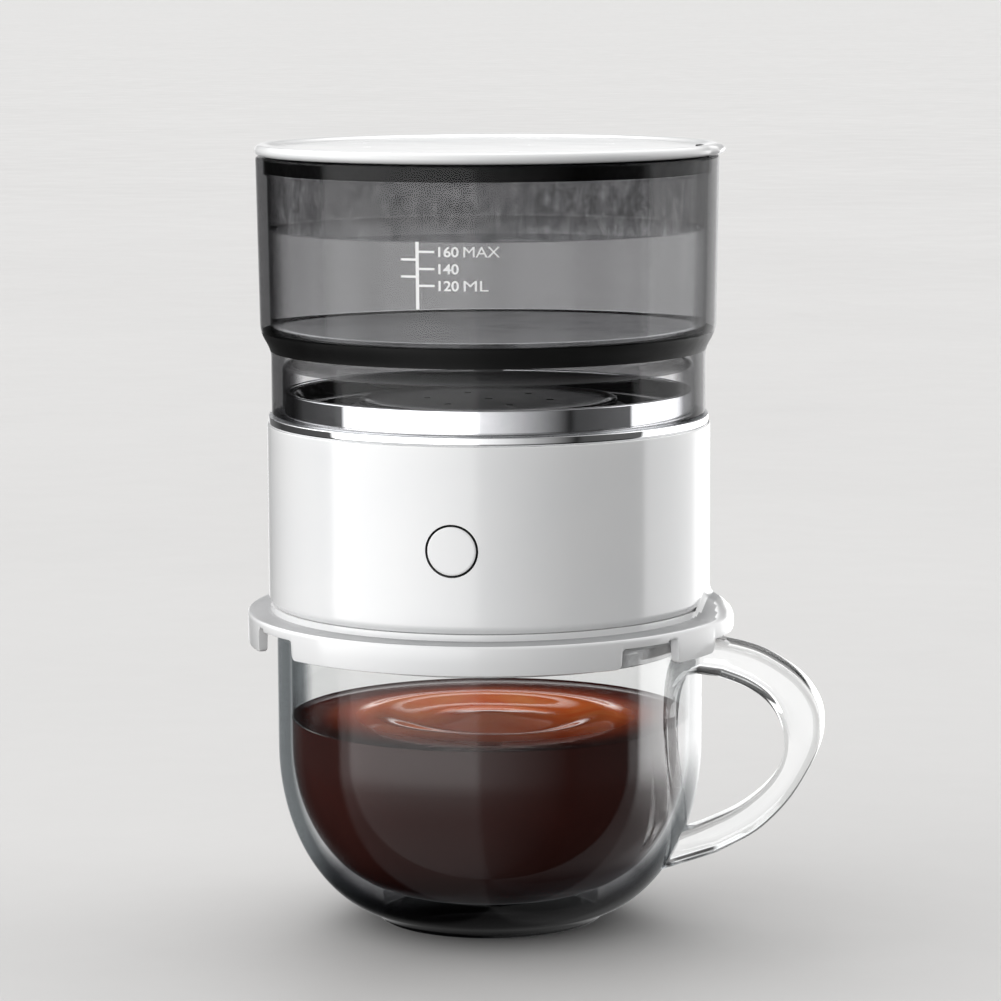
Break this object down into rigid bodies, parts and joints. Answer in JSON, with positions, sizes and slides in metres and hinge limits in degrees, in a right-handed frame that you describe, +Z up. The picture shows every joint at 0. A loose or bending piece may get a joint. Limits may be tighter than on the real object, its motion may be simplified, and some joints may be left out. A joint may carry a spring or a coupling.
{
  "type": "drip coffee maker",
  "caption": "Portable drip coffee maker: a lidded smoked water tank on a white powered brew head with a turning filter basket, standing on a handled glass mug.",
  "frame": {"origin": "centre of the mug's flat foot, on the surface that it stands on", "axes": "+Z up through the mug, head, tank and lid; -Y is the front, with the button; the mug's handle is on +X"},
  "size_m": [0.1211, 0.1014, 0.1629],
  "materials": {
    "glass": "clear, polished",
    "white_shell": "glossy white moulding",
    "white_lid": "glossy white moulding",
    "steel": "polished steel",
    "inner_steel": "brushed steel",
    "mesh_steel": "etched steel mesh",
    "black_plastic": "glossy black moulding",
    "black_inner": "fine matt moulding",
    "black_rubber": "matt silicone",
    "clear_silicone": "translucent silicone",
    "smoked_plastic": "smoked clear moulding",
    "natural_acetal": "natural acetal",
    "board": "solder-masked board",
    "cell_wrap": "shrink wrap"
  },
  "bodies": {
    "mug": {"glass_cup": "glass", "cup_handle": "glass"},
    "brew_head": {"base_flange": "white_shell", "cup_gasket": "clear_silicone", "body_shell": "white_shell", "chrome_ring": "steel", "chassis": "black_inner", "drip_funnel": "black_inner", "motor": "inner_steel", "motor_mount": "inner_steel", "slip_ring": "natural_acetal", "battery_cradle": "black_inner", "circuit_board": "board", "tact_switch": "black_inner", "button_seal": "black_rubber", "charge_socket": "inner_steel", "socket_board": "board", "base_screw_1": "inner_steel", "base_screw_2": "inner_steel", "base_screw_3": "inner_steel", "base_screw_4": "inner_steel", "motor_screw_1": "inner_steel", "motor_screw_2": "inner_steel", "battery_cell_1": "cell_wrap", "battery_cell_2": "cell_wrap"},
    "button": {"power_button": "white_shell", "switch_plunger": "black_inner"},
    "plug": {"port_plug": "clear_silicone"},
    "pinion_drive": {"motor_shaft": "inner_steel", "drive_pinion": "natural_acetal"},
    "dripper": {"dripper_dish": "black_plastic"},
    "basket": {"filter_basket": "black_plastic", "filter_mesh": "mesh_steel", "drive_gear": "natural_acetal", "spray_plate": "black_plastic"},
    "water_tank": {"tank": "smoked_plastic", "tank_floor": "smoked_plastic", "floor_seal": "black_rubber", "drip_outlet": "black_rubber", "outlet_strainer": "mesh_steel"},
    "top_lid": {"lid": "white_lid", "lid_seal": "black_rubber"}
  },
  "joints": [
    {"name": "head_lift", "type": "slide", "parent": "mug", "child": "brew_head", "axis": [0, 0, 1], "range_m": [0, 0.07]},
    {"name": "button_press", "type": "slide", "parent": "brew_head", "child": "button", "axis": [0, 1, 0], "range_m": [0, 0.0008], "stiffness_N_per_m": 400},
    {"name": "plug_swing", "type": "hinge", "parent": "brew_head", "child": "plug", "pos_m": [0.0069, 0.0471, 0.075], "axis": [0, 0, -1], "range_deg": [0, 110]},
    {"name": "pinion_spin", "type": "hinge", "parent": "brew_head", "child": "pinion_drive", "pos_m": [0.0342, 0.01245, 0.1], "axis": [0, 0, 1], "continuous": true},
    {"name": "dripper_lift", "type": "slide", "parent": "brew_head", "child": "dripper", "axis": [0, 0, 1], "range_m": [0, 0.045]},
    {"name": "basket_spin", "type": "hinge", "parent": "dripper", "child": "basket", "pos_m": [0, 0, 0.1], "axis": [0, 0, 1], "continuous": true},
    {"name": "tank_lift", "type": "slide", "parent": "dripper", "child": "water_tank", "axis": [0, 0, 1], "range_m": [0, 0.05]},
    {"name": "lid_lift", "type": "slide", "parent": "water_tank", "child": "top_lid", "axis": [0, 0, 1], "range_m": [0, 0.03]}
  ],
  "couplings": [
    {"joint": "pinion_spin", "follows": "basket_spin", "ratio": -7}
  ]
}
